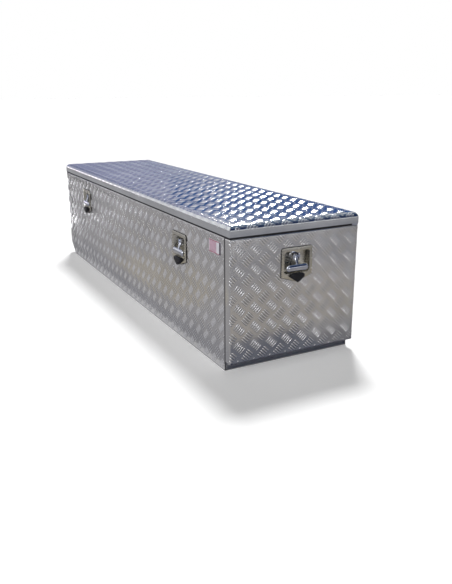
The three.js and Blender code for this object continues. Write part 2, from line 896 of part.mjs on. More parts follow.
function bodyBracket(side) {
  const { y, z } = footPivot;
  const web = [
    [rearInner, z - bracket.halfHeight],
    [rearInner, z + bracket.halfHeight],
    [y - bracket.nose, z + bracket.nose],
    [y - bracket.nose, z - bracket.nose],
  ];
  const plate = prismX(web, ...ordered(side, bracketX, bracketX + bracket.plate));
  const [x0, x1] = ordered(side, bracketX, bracketX + bracket.foot);
  const foot = box(
    x0,
    x1,
    rearInner - bracket.plate,
    rearInner,
    z - bracket.halfHeight,
    z + bracket.halfHeight,
  );
  const studEnd = strutX - strut.eyeWidth / 2 - fit.overrun;
  const stud = prismX(
    circle([y, z], strut.studRadius, strut.sides),
    ...ordered(side, studEnd, bracketX + bracket.plate / 2),
  );
  return join(plate, foot, stud);
}

function lidBracket(side) {
  const { y, z } = headPivot;
  const web = [
    [y - bracket.lidHalfLength, lidUnder],
    [y + bracket.lidHalfLength, lidUnder],
    [y + bracket.nose, z - bracket.nose],
    [y - bracket.nose, z - bracket.nose],
  ];
  const plate = prismX(web, ...ordered(side, bracketX, bracketX + bracket.plate));
  const [x0, x1] = ordered(side, bracketX, bracketX + bracket.foot);
  const foot = box(
    x0,
    x1,
    y - bracket.lidHalfLength,
    y + bracket.lidHalfLength,
    lidUnder - bracket.plate,
    lidUnder,
  );
  const studEnd = strutX + strut.eyeWidth / 2 + fit.running;
  const stud = prismX(
    circle([y, z], strut.studRadius, strut.sides),
    ...ordered(side, studEnd, bracketX + bracket.plate / 2),
  );
  return join(plate, foot, stud);
}

function addStrut(end, side) {
  const group = new THREE.Group();
  group.position.set(side * strutX, footPivot.y, footPivot.z);
  group.rotation.x = strutLean;
  root.add(group);
  node("strut_tube_" + end, strutTube(), paintedBlack, group);
  node("strut_rod_" + end, strutRod(), chrome, group);
  node("strut_body_bracket_" + end, bodyBracket(side), zincSteel);
  node("strut_lid_bracket_" + end, lidBracket(side), zincSteel);
}

addStrut("near", 1);
addStrut("far", -1);

// Label
function blankLabel() {
  const x1 = doorX - label.fromDoor;
  const top = bodyTop - label.belowTop;
  return box(x1 - label.width, x1, frontY - label.thickness, frontY, top - label.height, top);
}

node("blank_label", blankLabel(), labelFilm);

export default root;
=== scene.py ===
"""A long chest of folded aluminium tread plate: a lid with rolled edges, a drop-down door in the near end
and three recessed T-handle locks. In metres and the part's own frame: door at +X and front at -Y."""

import json
import math
from itertools import product

import bmesh
import bpy
import numpy as np
from mathutils import Matrix, Vector


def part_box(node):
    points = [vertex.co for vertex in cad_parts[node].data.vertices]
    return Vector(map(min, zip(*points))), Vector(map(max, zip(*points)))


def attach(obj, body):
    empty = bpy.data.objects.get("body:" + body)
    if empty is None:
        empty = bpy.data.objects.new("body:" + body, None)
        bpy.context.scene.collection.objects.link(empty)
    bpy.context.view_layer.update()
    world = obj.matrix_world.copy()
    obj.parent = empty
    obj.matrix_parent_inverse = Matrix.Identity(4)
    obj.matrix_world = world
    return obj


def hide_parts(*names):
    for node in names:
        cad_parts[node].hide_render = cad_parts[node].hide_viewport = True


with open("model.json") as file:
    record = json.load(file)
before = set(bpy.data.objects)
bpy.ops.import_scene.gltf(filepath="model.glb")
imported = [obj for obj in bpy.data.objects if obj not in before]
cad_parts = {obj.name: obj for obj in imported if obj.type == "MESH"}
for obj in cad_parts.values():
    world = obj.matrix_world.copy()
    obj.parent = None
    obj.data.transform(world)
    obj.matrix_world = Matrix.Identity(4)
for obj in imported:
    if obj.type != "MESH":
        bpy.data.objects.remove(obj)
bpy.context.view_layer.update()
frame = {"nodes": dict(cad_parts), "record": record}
NODES = frame["nodes"]
LOCKS = ("near_lock", "far_lock", "door_lock")

# The photograph's frame and camera
PHOTO_LONG_SIDE = 584
FOCAL_PIXELS = 647.7
SENSOR = 36
CAMERA_PLACE = (2.6895, -1.1654, 0.8993)
CAMERA_REACH = 200
YAW, PITCH, ROLL = (math.radians(angle) for angle in (27.694, 17.494, -0.21))

# Five-bar tread pattern. BAR_MARGIN is the plain strip that bars leave along an edge.
BAR_LENGTH = 0.029
BAR_WIDTH = 0.0058
BAR_HEIGHT = 0.0013
LID_BAR_HEIGHT = 0.0009
BAR_STEP = 0.0085
BARS = 5
BAR_SHORTEST = 0.007
BAR_MARGIN = 0.0035
AXIS_SAMPLES = 31

# A bar's shape: how deep its two tips sink, in bar heights, then the stations along it, in half lengths,
# then its section, with the place across in half widths, the height in bar heights, and how much painted
# shade with soil darkens it at its foot. A bar is fully worn where it stands a third of its height or more,
# so the wear gains threefold with the height.
TIPS = 2
TIP_SINK_SHARE = 0.15
STATION_SHARES = (-0.96, -0.82, -0.6, -0.3, 0.3, 0.6, 0.82, 0.96)
SECTION_SHARES = (
    (-1.25, 0.01, 0.3),
    (-1, 0.08, 1),
    (-0.75, 0.62, 0.2),
    (-0.4, 0.94, 0),
    (0, 1, 0),
    (0.4, 0.94, 0),
    (0.75, 0.62, 0.2),
    (1, 0.08, 1),
    (1.25, 0.01, 0.3),
)
WEAR_GAIN = 3

# Each panel's pattern: its pitch along u and v, then the place of one group of rising bars
FRONT_PATTERN = ((0.0597, 0.0648), (-0.011, -0.0156))
REAR_PATTERN = ((0.0597, 0.0648), (0.02, 0.01))
FAR_PATTERN = ((0.0613, 0.0651), (0.0, 0.01))
DOOR_PATTERN = ((0.0613, 0.0651), (-0.0299, 0.021))
LID_PATTERN = ((0.0577, 0.064), (0.9484, -0.005))

# Folded sheet and round edges
SHEET = 0.003
DOOR_FOLD = 0.0038
FOLD_SEGMENTS = 5
LID_ROLL = 0.020
ROLL_STEPS = 10
TOE_RUN = 0.068
TOE_RISE = 0.058
NODE_ROUND = 0.0004
NODE_ROUND_SEGMENTS = 2
PANEL_ROUND = 0.0013
SMOOTH_ANGLE = math.radians(32)
BAR_SMOOTH_ANGLE = math.radians(60)
FLAT_ANGLE = math.radians(1)
WELD = 1e-5
ON_PLANE = 1e-4

# Planes of the chest, read from the frame
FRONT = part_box("front_panel")
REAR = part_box("rear_panel")
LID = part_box("lid_skin")
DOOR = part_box("door_skin")
FRONT_Y = FRONT[0].y
REAR_Y = REAR[1].y
FAR_X = FRONT[0].x
NEAR_X = FRONT[1].x
DOOR_X = DOOR[1].x
BODY_TOP = DOOR[1].z
LOCK_PLATES = {name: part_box(name + "_plate") for name in LOCKS}
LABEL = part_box("blank_label")
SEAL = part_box("lid_seal")
SPINDLE_Z = sum(corner.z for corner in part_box("door_lock_spindle")) / 2

# The lid, sunk by a bar's height on its top and far side so that its bars stay inside the chest's size
LID_TOP = LID[1].z - LID_BAR_HEIGHT
LID_X0, LID_X1 = LID[0].x + LID_BAR_HEIGHT, LID[1].x
LID_Y0, LID_Y1 = LID[0].y, LID[1].y
LID_HALF_X = (LID_X1 - LID_X0) / 2 - LID_ROLL
LID_HALF_Y = (LID_Y1 - LID_Y0) / 2 - LID_ROLL
ROLL_ARC = LID_ROLL * math.pi / 2

# Lock: the V of the plate's foot, then the handle, with heights from the spindle's axis and depths outward
# from the panel's face
PLATE_V = 0.0205
PIN_DEPTH = -0.012
HUB_RADIUS = 0.0095
HUB_HALF_WIDTH = 0.008
HUB_ROUND_SHARE = 0.6
HUB_SHARES = (-1, -0.85, -0.6, -0.3, 0, 0.3, 0.6, 0.85, 1)
WING_HALF_LENGTH = 0.043
WING_HALF_HEIGHT = 0.012
WING_CENTRE = -0.0355
WING_BACK = -0.0012
WING_FRONT = 0.0123
WING_CORNER = 0.0118
WING_INSET_SHARE = 0.97
WING_STEPS = 16
RING_POINTS = 40

# The stem's rings, from the boss to the crossbar: height, depth, half width and half depth
STEM_STATIONS = (
    (-0.001, -0.0105, 0.0075, 0.007),
    (-0.006, -0.0055, 0.0075, 0.0068),
    (-0.012, -0.0015, 0.0066, 0.0056),
    (-0.018, 0.0012, 0.0052, 0.0046),
    (-0.024, 0.0035, 0.0046, 0.0042),
    (-0.031, 0.0055, 0.0046, 0.0042),
)
STEM_TILT = (0, 0.35, 0.94)

# Seam under the lid, with the seal in it and the lid's tab at its rear end
SEAM = 0.0058
SEAL_RECESS = 0.0007
SEAL_LAP = 0.012
SEAL_ROUND = 0.0011
SEAL_ROUND_SEGMENTS = 3
TAB_WIDTH = 0.026
TAB_GAP = 0.0011

# Label: bare film round its print, red lines, dark bar down the near edge, the pale field's length as a
# share of the label's, and how much lighter faded print is
LABEL_MARGIN = 0.0011
LABEL_LINE = 0.0022
LABEL_BAR = 0.0099
LABEL_FIELD_SHARE = 0.64
INK_FADE = 1.3

# Weld beads up the lid's corners, and the painted shade and grime along the seam between body and door
BEAD = 0.0012
BEAD_SIDES = 8
BEAD_SINK_SHARE = 0.75
SEAM_SHADE_AND_GRIME_REACH = 0.005
SEAM_SHADE_AND_GRIME_SHARE = 0.85

# Rivets: width and rise of a head's rings as shares of its radius and height
RIVET_RADIUS = 0.0036
RIVET_RISE = 0.0012
RIVET_POINTS = 16
RIVET_SHARES = ((1, -0.2), (1, 0.1), (0.9, 0.45), (0.65, 0.8), (0.3, 0.97), (0.05, 1))
RIVET_INSET = 0.008
LEAF = 0.0015
HINGE_RIVETS = 14

# Faces of a box whose corners run through z first, then y, then x
BOX_FACES = ((0, 1, 3, 2), (4, 6, 7, 5), (0, 4, 5, 1), (2, 3, 7, 6), (0, 2, 6, 4), (1, 5, 7, 3))

# Where a noise counts as low and as high
NOISE_LOW, NOISE_HIGH = 0.3, 0.7

# Colours of the tread plate's painted shade with soil at the bars' feet, its bare metal, and the painted
# shade with grime in the seam between body and door
FOOT_SHADE_AND_SOIL_COLOUR = (0.1, 0.1, 0.105)
BARE_COLOUR = (0.9, 0.9, 0.91)
SEAM_SHADE_AND_GRIME_COLOUR = (0.04, 0.04, 0.045)

# Colours that the metal mirrors
DUSK = (0.03, 0.045, 0.1)
NIGHT = (0.04, 0.05, 0.08)
SLATE = (0.17, 0.17, 0.18)
BLUE = (0.14, 0.22, 0.38)
SKY = (0.12, 0.17, 0.26)
PEARL = (0.7, 0.7, 0.74)
BLUSH = (3.0, 2.75, 2.85)
WHITE = (5, 5, 5.2)
GLARE = (6, 6, 6.2)

# Standing cards: name, place, what they face, width and height, and the colours of their foot and top
STANDING_CARDS = (
    ("right_card", (4.3, 2.6, 3.0), (0.9, 0, 0.5), (4, 4.8), DUSK, DUSK),
    ("right_low_card", (2.0, 6.0, 1.0), (0.97, 0, 1.0), (7, 2.4), SLATE, SLATE),
    ("sky_card", (-4.1, 4.4, 4.9), (0.97, 0, 0.5), (3.1, 2.8), BLUE, BLUE),
    ("front_card", (-1.2, -4.7, 2.7), (0, 0, 0.3), (7, 3.2), PEARL, PEARL),
    ("front_low_card", (-2.9, -5.6, 0.9), (0, -0.25, 0.9), (5.4, 1.8), PEARL, PEARL),
    ("glint_card", (-2.6, -0.27, 0.12), (0, -0.27, 0.12), (0.13, 0.24), GLARE, GLARE),
    ("horizon_card", (-6.4, -2.15, 0.7), (-0.4, -0.25, 0.7), (0.9, 0.7), BLUSH, BLUSH),
    ("door_glint_card", (5, 0.3, 0.5), (0.97, -0.1, 0.5), (0.8, 0.5), WHITE, WHITE),
    ("camera_card", (4.4, -2.2, 1.2), (0.5, 0, 0.4), (2.4, 2.2), NIGHT, (0.2, 0.24, 0.34)),
    ("high_camera_card", (4.5, -0.7, 2.1), (0.97, 0, 0.24), (2.8, 2.6), NIGHT, (0.3, 0.32, 0.36)),
)

# Cards that lie flat and face the height FLAT_CARD_AIM: name, spans along x and y, height and colour
FLAT_CARD_AIM = 1
FLAT_CARDS = (
    ("roll_card", (-1.2, 5), (1.2, 3.0), 3.5, SKY),
    ("glint_strip", (-2.6, -1.6), (-0.34, -0.2), 0.003, GLARE),
    ("foot_glint_strip", (-1.6, 0.95), (-0.27, -0.251), 0.003, (0.6, 0.6, 0.62)),
    ("floor_card", (-25, 25), (-25, 25), 0.001, (0.39, 0.385, 0.4)),
    ("front_warm_card", (-0.6, 0.35), (-0.75, -0.4), 0.002, (0.46, 0.43, 0.38)),
    # A painted shadow of the floor along the front's foot, seen only in reflections
    ("front_foot_shadow_card", (-1.2, 1.0), (-0.35, -0.25), 0.002, (0.32, 0.32, 0.345)),
    ("door_warm_card", (1.16, 1.9), (-0.3, 0.9), 0.002, (0.43, 0.405, 0.38)),
    ("door_far_card", (1.9, 3.4), (-0.3, 2.0), 0.002, (0.31, 0.31, 0.335)),
    # The next three: painted shadow of the floor at and under the door's foot, seen only in reflections
    ("door_foot_shadow_card", (1.0, 1.16), (-0.25, 0.16), 0.002, (0.17, 0.18, 0.22)),
    ("door_foot_rear_shadow_card", (1.0, 1.09), (0.16, 0.6), 0.002, (0.24, 0.24, 0.26)),
    ("sill_shadow_card", (0.9, 1.0), (-0.25, 0.6), 0.002, (0.05, 0.055, 0.08)),
)

# How much lighter the floor's tone gets in places
FLOOR_MOTTLE = 0.02


def smooth(mesh, angle):
    mesh.polygons.foreach_set("use_smooth", [True] * len(mesh.polygons))
    mesh.set_sharp_from_angle(angle=angle)


def place(obj, body, material, smooth_angle=SMOOTH_ANGLE):
    """Show an object with its material, riding on its body"""
    bpy.context.scene.collection.objects.link(obj)
    obj.data.materials.clear()
    obj.data.materials.append(material)
    smooth(obj.data, smooth_angle)
    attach(obj, body)
    return obj


def mesh_object(name, verts, faces, body, material, slot, smooth_angle=SMOOTH_ANGLE):
    mesh = bpy.data.meshes.new(name)
    mesh.from_pydata([tuple(v) for v in verts], [], [tuple(f) for f in faces])
    mesh.update()
    return place(bpy.data.objects.new(name, mesh), body, material, smooth_angle)


def finish_node(node, material):
    """A material and small round edges on a CAD node"""
    obj = NODES[node]
    obj.data.materials.clear()
    obj.data.materials.append(material)
    obj.modifiers.new("weld", "WELD").merge_threshold = WELD
    bevel = obj.modifiers.new("round edges", "BEVEL")
    bevel.width = NODE_ROUND
    bevel.segments = NODE_ROUND_SEGMENTS
    bevel.limit_method = "ANGLE"
    bevel.angle_limit = SMOOTH_ANGLE
    smooth(obj.data, SMOOTH_ANGLE)


def cad_copy(node):
    """The node's solid as a bmesh with merged corners and whole flat faces"""
    bm = bmesh.new()
    bm.from_mesh(NODES[node].data)
    bmesh.ops.remove_doubles(bm, verts=bm.verts, dist=WELD)
    bmesh.ops.dissolve_limit(bm, angle_limit=FLAT_ANGLE, verts=bm.verts, edges=bm.edges)
    return bm


def stand_in(name, bm, node, body, material):
    """An object made from a bmesh, shown in place of a CAD node"""
    mesh = bpy.data.meshes.new(name)
    bm.to_mesh(mesh)
    bm.free()
    obj = place(bpy.data.objects.new(name, mesh), body, material)
    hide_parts(node)


def circle(count):
    """Points round a unit circle, as (cosine, sine)"""
    turns = [2 * math.pi * k / count for k in range(count)]
    return [(math.cos(turn), math.sin(turn)) for turn in turns]


def loft(rings):
    """A closed skin over rings of equally many points"""
    count = len(rings[0])
    verts = [point for ring in rings for point in ring]
    faces = []
    for k in range(len(rings) - 1):
        for j in range(count):
            a, b = k * count + j, k * count + (j + 1) % count
            faces.append((a, b, b + count, a + count))
    faces.append(tuple(reversed(range(count))))
    faces.append(tuple((len(rings) - 1) * count + j for j in range(count)))
    return verts, faces


def joined(shells):
    """Corners and faces of several shells as those of one mesh"""
    verts, faces = [], []
    for shell_verts, shell_faces in shells:
        base = len(verts)
        verts += shell_verts
        faces += [[base + k for k in face] for face in shell_faces]
    return verts, faces


def boxes_mesh(boxes):
    """One mesh from several boxes, each given by two corners"""
    return joined((list(product(*zip(low, high))), BOX_FACES) for low, high in boxes)


class Graph:
    """A material's nodes, with short calls to add and join them"""

    def __init__(self, name):
        self.material = bpy.data.materials.new(name)
        self.material.use_nodes = True
        self.tree = self.material.node_tree
        self.shader = self.tree.nodes["Principled BSDF"]
        coordinates = self.tree.nodes.new("ShaderNodeTexCoord")
        self.place = coordinates.outputs["Object"]
        self.generated = coordinates.outputs["Generated"]

    def set(self, **values):
        for name, value in values.items():
            self.shader.inputs[name.replace("_", " ")].default_value = value
        return self

    def join(self, output, socket):
        self.tree.links.new(output, socket)

    def add(self, kind, **values):
        node = self.tree.nodes.new(kind)
        for name, value in values.items():
            if name in node.inputs:
                node.inputs[name].default_value = value
            else:
                setattr(node, name, value)
        return node

    def stretched(self, scale):
        mapping = self.add("ShaderNodeMapping", Scale=scale)
        self.join(self.place, mapping.inputs["Vector"])
        return mapping.outputs["Vector"]

    def axis(self, vector, letter):
        """One coordinate of a vector"""
        split = self.add("ShaderNodeSeparateXYZ")
        self.join(vector, split.inputs["Vector"])
        return split.outputs[letter]

    def noise(self, scale, detail=3, stretch=None):
        node = self.add("ShaderNodeTexNoise", Scale=scale, Detail=detail)
        self.join(self.stretched(stretch) if stretch else self.place, node.inputs["Vector"])
        return node.outputs["Fac"]

    def range(self, value, low, high, start=NOISE_LOW, end=NOISE_HIGH):
        """A number that goes from low to high while value goes from start to end"""
        node = self.add("ShaderNodeMapRange")
        for name, number in zip(("From Min", "From Max", "To Min", "To Max"), (start, end, low, high)):
            node.inputs[name].default_value = number
        self.join(value, node.inputs["Value"])
        return node.outputs["Result"]

    def ramp(self, value, *stops):
        node = self.add("ShaderNodeValToRGB")
        ramp = node.color_ramp
        while len(ramp.elements) < len(stops):
            ramp.elements.new(0.5)
        for element, (spot, colour) in zip(ramp.elements, stops):
            element.position = spot
            element.color = (*colour, 1)
        self.join(value, node.inputs["Fac"])
        return node.outputs["Color"]

    def mottle(self, value, dull, bright):
        """A colour that drifts between two with a noise"""
        return self.ramp(value, (NOISE_LOW, dull), (NOISE_HIGH, bright))

    def math(self, operation, a, b):
        node = self.add("ShaderNodeMath", operation=operation)
        for socket, value in zip(node.inputs, (a, b)):
            if isinstance(value, (int, float)):
                socket.default_value = value
            else:
                self.join(value, socket)
        return node.outputs["Value"]

    def attribute(self, name):
        return self.add("ShaderNodeAttribute", attribute_name=name).outputs["Fac"]

    def mix(self, share, a, b):
        """Colour a, changing to colour b as share rises. Sockets 6 and 7 take the two colours."""
        node = self.add("ShaderNodeMix", data_type="RGBA")
        self.join(share, node.inputs["Factor"])
        for socket, value in zip((node.inputs[6], node.inputs[7]), (a, b)):
            if isinstance(value, tuple):
                socket.default_value = (*value, 1)
            else:
                self.join(value, socket)
        return node.outputs[2]

    def bump(self, height, strength, distance):
        node = self.add("ShaderNodeBump", Strength=strength, Distance=distance)
        self.join(height, node.inputs["Height"])
        self.join(node.outputs["Normal"], self.shader.inputs["Normal"])

    def colour(self, output):
        self.join(output, self.shader.inputs["Base Color"])

    def rough(self, output):
        self.join(output, self.shader.inputs["Roughness"])


def seam_shade_and_grime(g):
    """How much painted shade and grime darken a place: most beside the body-door seam, none away from it"""
    middle = (NEAR_X + DOOR[0].x) / 2
    away = g.math("ABSOLUTE", g.math("SUBTRACT", g.axis(g.place, "X"), middle), 0)
    return g.range(away, low=SEAM_SHADE_AND_GRIME_SHARE, high=0, start=SEAM_SHADE_AND_GRIME_REACH / 2, end=SEAM_SHADE_AND_GRIME_REACH)


def tread_aluminium(name, colours, roughness, shade_and_soiling, wear, polish, shaded_and_grimy_seam=False):
    """Tread plate: cloudy sheet, painted shade with soil along the feet of the bars, and bars worn smooth.
    The strengths of the shade with soil and of the wear are the most that this darkening and bare metal
    show, polish is how much smoother bars are than the sheet, and the seam switch adds painted shade with
    grime."""
    g = Graph(name).set(Metallic=1.0)
    cloud = g.noise(scale=5, detail=4)
    smudge = g.noise(scale=38, detail=5)
    # Painted shade with soil along the bars' feet and on their tips, patchy with a noise
    shade_and_soil_amount = g.range(g.noise(scale=55), low=shade_and_soiling / 2, high=shade_and_soiling)
    foot_shade_and_soil = g.math("MULTIPLY", g.attribute("foot"), shade_and_soil_amount)
    shaded_and_soiled = g.mix(foot_shade_and_soil, g.mottle(cloud, *colours), FOOT_SHADE_AND_SOIL_COLOUR)
    worn = g.attribute("worn")
    colour = g.mix(g.math("MULTIPLY", worn, wear), shaded_and_soiled, BARE_COLOUR)
    # Painted shade with grime along the seam between body and door, where the seam switch asks for it
    g.colour(g.mix(seam_shade_and_grime(g), colour, SEAM_SHADE_AND_GRIME_COLOUR) if shaded_and_grimy_seam else colour)
    plain = g.range(g.math("ADD", cloud, smudge), *roughness, start=0.7, end=1.3)
    g.rough(g.math("SUBTRACT", plain, g.math("MULTIPLY", worn, polish)))
    g.bump(g.noise(scale=700, detail=2), strength=0.1, distance=0.0004)
    return g.material


def plain_aluminium():
    g = Graph("plain_aluminium").set(Metallic=1.0)
    g.colour(g.mottle(g.noise(scale=6, detail=4), dull=(0.5, 0.5, 0.49), bright=(0.62, 0.62, 0.61)))
    g.rough(g.range(g.noise(scale=60, detail=4, stretch=(0.2, 1, 1)), low=0.34, high=0.5))
    g.bump(g.noise(scale=300, detail=2, stretch=(0.05, 1, 1)), strength=0.15, distance=0.0003)
    return g.material


def stainless_steel():
    g = Graph("stainless_steel").set(Metallic=1.0)
    g.colour(g.mottle(g.noise(scale=25), dull=(0.5, 0.48, 0.42), bright=(0.6, 0.58, 0.52)))
    g.rough(g.range(g.noise(scale=160, stretch=(0.1, 0.1, 1)), low=0.18, high=0.3))
    return g.material


def chrome_plate():
    g = Graph("chrome_plate").set(Metallic=1.0)
    g.colour(g.mottle(g.noise(scale=30), dull=(0.48, 0.5, 0.57), bright=(0.58, 0.6, 0.66)))
    g.rough(g.range(g.noise(scale=90, detail=4), low=0.05, high=0.13))
    return g.material


def zinc_steel():
    g = Graph("zinc_steel").set(Metallic=1.0)
    g.colour(g.mottle(g.noise(scale=45, detail=5), dull=(0.45, 0.45, 0.46), bright=(0.6, 0.61, 0.63)))
    g.rough(g.range(g.noise(scale=80, detail=4), low=0.35, high=0.55))
    return g.material


def black_rubber():
    g = Graph("black_rubber").set(Specular_IOR_Level=0.3)
    cloud = g.noise(scale=60, detail=4)
    g.colour(g.mottle(cloud, dull=(0.006, 0.006, 0.009), bright=(0.015, 0.015, 0.02)))
    g.rough(g.range(g.noise(scale=120), low=0.45, high=0.7))
    g.bump(g.noise(scale=900, detail=2), strength=0.1, distance=0.0003)
    return g.material


def black_paint():
    g = Graph("black_paint")
    cloud = g.noise(scale=40, detail=4)
    g.colour(g.mottle(cloud, dull=(0.012, 0.012, 0.014), bright=(0.025, 0.025, 0.028)))
    g.rough(g.range(g.noise(scale=70, detail=4), low=0.28, high=0.42))
    return g.material


def label_film():
    g = Graph("label_film")
    g.colour(g.mottle(g.noise(scale=60), dull=(0.7, 0.69, 0.76), bright=(0.78, 0.77, 0.83)))
    g.rough(g.range(g.noise(scale=90), low=0.35, high=0.5))
    return g.material


def ink(name, colour):
    """Print on the label, a little faded in places"""
    g = Graph(name)
    g.colour(g.mottle(g.noise(scale=80), dull=colour, bright=tuple(c * INK_FADE for c in colour)))
    g.rough(g.range(g.noise(scale=90), low=0.35, high=0.5))
    return g.material


MATERIALS = {
    "tread_plate": tread_aluminium(
        "tread_aluminium",
        colours=((0.56, 0.555, 0.55), (0.68, 0.675, 0.67)),
        roughness=(0.17, 0.24),
        shade_and_soiling=0.9,
        wear=0.5,
        polish=0.11,
    ),
    "plain_aluminium": plain_aluminium(),
    "stainless": stainless_steel(),
    "chrome": chrome_plate(),
    "zinc_steel": zinc_steel(),
    "rubber": black_rubber(),
    "painted_black": black_paint(),
    "label_film": label_film(),
}
# Sheet for the long sides and the door, with painted shade and grime along their seam
SIDE_TREAD = tread_aluminium(
    "side_tread_aluminium",
    colours=((0.58, 0.575, 0.57), (0.7, 0.695, 0.69)),
    roughness=(0.17, 0.24),
    shade_and_soiling=0.9,
    wear=0.6,
    polish=0.06,
    shaded_and_grimy_seam=True,
)
LID_TREAD = tread_aluminium(
    "lid_tread_aluminium",
    colours=((0.6, 0.62, 0.64), (0.72, 0.74, 0.76)),
    roughness=(0.09, 0.15),
    shade_and_soiling=0.55,
    wear=0.4,
    polish=0.04,
)


def cad_nodes():
    """Looks of all the CAD's own solids, with wider round edges and painted shade with grime by the seam on
    the long sides
    """
    for row in frame["record"]["subparts"]:
        finish_node(row["node"], MATERIALS[row["material_slot"]])
    for side in ("front_panel", "rear_panel"):
        NODES[side].modifiers["round edges"].width = PANEL_ROUND
        NODES[side].data.materials[0] = SIDE_TREAD


def bar_axes(u0, u1, v0, v1, pattern):
    """Start and end of every bar whose group reaches the box, on the flat sheet"""
    pitch, phase = pattern
    half = [p / 2 for p in pitch]
    first = [math.floor((low - p) / h) - 1 for low, p, h in zip((u0, v0), phase, half)]
    last = [math.ceil((high - p) / h) + 1 for high, p, h in zip((u1, v1), phase, half)]
    slope = math.sqrt(0.5)
    for i in range(first[0], last[0] + 1):
        for j in range(first[1], last[1] + 1):
            if (i - j) % 2:
                continue
            rising = 1 if i % 2 == 0 else -1
            along = Vector((slope, slope * rising))
            across = Vector((-along.y, along.x))
            centre = Vector((phase[0] + i * half[0], phase[1] + j * half[1]))
            for k in range(BARS):
                middle = centre + across * (k - (BARS - 1) / 2) * BAR_STEP
                yield middle - along * BAR_LENGTH / 2, middle + along * BAR_LENGTH / 2


def kept_run(start, end, allowed):
    """The longest stretch of a bar's axis that lies where bars are allowed"""
    best, run = None, None
    for k in range(AXIS_SAMPLES):
        share = k / (AXIS_SAMPLES - 1)
        if allowed(*start.lerp(end, share)):
            run = (run[0], share) if run else (share, share)
            if best is None or run[1] - run[0] > best[1] - best[0]:
                best = run
        else:
            run = None
    if best is None or (best[1] - best[0]) * BAR_LENGTH < BAR_SHORTEST:
        return None
    return start.lerp(end, best[0]), start.lerp(end, best[1])


def bar_points(start, end):
    """(u, v, height, wear, painted shade with soil) of a bar's points, the height a share of the bar's own:
    the two tips, then one section per station"""
    along = (end - start) / 2
    centre = (start + end) / 2
    across = Vector((-along.y, along.x)).normalized() * BAR_WIDTH / 2
    # The sunk tips get the full painted shade with soil
    points = [(*start, -TIP_SINK_SHARE, 0, 1), (*end, -TIP_SINK_SHARE, 0, 1)]
    for t in STATION_SHARES:
        low = 1 - abs(t) ** 3
        narrow = math.sqrt(1 - t**6)
        for s, rise, foot_shade_and_soil in SECTION_SHARES:
            spot = centre + along * t + across * s * narrow
            points.append((*spot, low * rise, low * rise, foot_shade_and_soil))
    return points


def bar_faces():
    """Faces of one bar, in the order of bar_points: its top, then the two tips"""
    width = len(SECTION_SHARES)
    count = len(STATION_SHARES)

    def at(station, k):
        return TIPS + station * width + k

    faces = []
    for k in range(width - 1):
        faces.append((0, at(0, k + 1), at(0, k)))
        faces.append((1, at(count - 1, k), at(count - 1, k + 1)))
        for station in range(count - 1):
            faces.append((at(station, k), at(station, k + 1), at(station + 1, k + 1), at(station + 1, k)))
    return faces


def left_handed(surface, u, v):
    """True where u, v and the outward normal don't make a right-handed set"""
    on, normal = surface(np.array([u, u + ON_PLANE, u]), np.array([v, v, v + ON_PLANE]))
    return float(np.dot(np.cross(on[1] - on[0], on[2] - on[0]), normal[0])) < 0


def tread(
    name, body, box, pattern, allowed, surface, material=MATERIALS["tread_plate"], height=BAR_HEIGHT
):
    """All of a panel's bars as one object. allowed(u, v) is true where bars may be, and surface(u, v) gives
    points and normals for arrays of places."""
    points = []
    for start, end in bar_axes(*box, pattern):
        run = kept_run(start, end, allowed)
        if run:
            points.extend(bar_points(*run))
    u, v, rise, wear, foot_shade_and_soil = np.array(points).T
    on, normal = surface(u, v)
    verts = on + normal * rise[:, None] * height
    size = TIPS + len(SECTION_SHARES) * len(STATION_SHARES)
    base = bar_faces()
    faces = [tuple(k + n * size for k in f) for n in range(len(points) // size) for f in base]
    if left_handed(surface, u[0], v[0]):
        faces = [f[::-1] for f in faces]
    obj = mesh_object(name, verts, faces, body, material, "tread_plate", BAR_SMOOTH_ANGLE)
    # The attribute foot carries the painted shade with soil at the bars' feet
    for attribute, values in (("foot", foot_shade_and_soil), ("worn", np.minimum(wear * WEAR_GAIN, 1))):
        obj.data.attributes.new(attribute, "FLOAT", "POINT").data.foreach_set("value", values)


def flat_surface(origin, along_u, along_v, normal):
    """A flat panel's points and normals, as a function for tread"""
    origin, along_u, along_v, normal = (np.array(x, float) for x in (origin, along_u, along_v, normal))

    def surface(u, v):
        on = origin + np.outer(u, along_u) + np.outer(v, along_v)
        return on, np.tile(normal, (len(u), 1))

    return surface


def under_plate(u, z, plate, axis):
    """True under a lock's plate: its upper part is a box, and its foot is a V"""
    low, high = plate
    centre = (low[axis] + high[axis]) / 2
    half = (high[axis] - low[axis]) / 2 + BAR_HEIGHT
    aside = abs(u - centre)
    foot = low.z - BAR_HEIGHT + aside / half * PLATE_V
    return aside < half and foot < z < high.z + BAR_HEIGHT


def on_side(x, z):
    """True on a long side, less the cut toe"""
    toe = (x - FAR_X - 2 * BAR_MARGIN) / TOE_RUN + z / TOE_RISE
    along = FAR_X + BAR_MARGIN < x < NEAR_X - BAR_MARGIN
    return along and BAR_MARGIN < z < BODY_TOP - BAR_MARGIN and toe > 1


def under_label(x, z):
    low, high = LABEL
    along = low.x - BAR_MARGIN < x < high.x + BAR_MARGIN
    return along and low.z - BAR_MARGIN < z < high.z + BAR_MARGIN


def under_front_lock(x, z):
    return any(under_plate(x, z, LOCK_PLATES[name], 0) for name in ("near_lock", "far_lock"))


def on_front(x, z):
    return on_side(x, z) and not under_label(x, z) and not under_front_lock(x, z)


def side_treads():
    box = (FAR_X, NEAR_X, 0, BODY_TOP)
    front = flat_surface((0, FRONT_Y, 0), (1, 0, 0), (0, 0, 1), (0, -1, 0))
    rear = flat_surface((0, REAR_Y, 0), (1, 0, 0), (0, 0, 1), (0, 1, 0))
    tread("front_tread_bars", "body", box, FRONT_PATTERN, on_front, front)
    tread("rear_tread_bars", "body", box, REAR_PATTERN, on_side, rear)


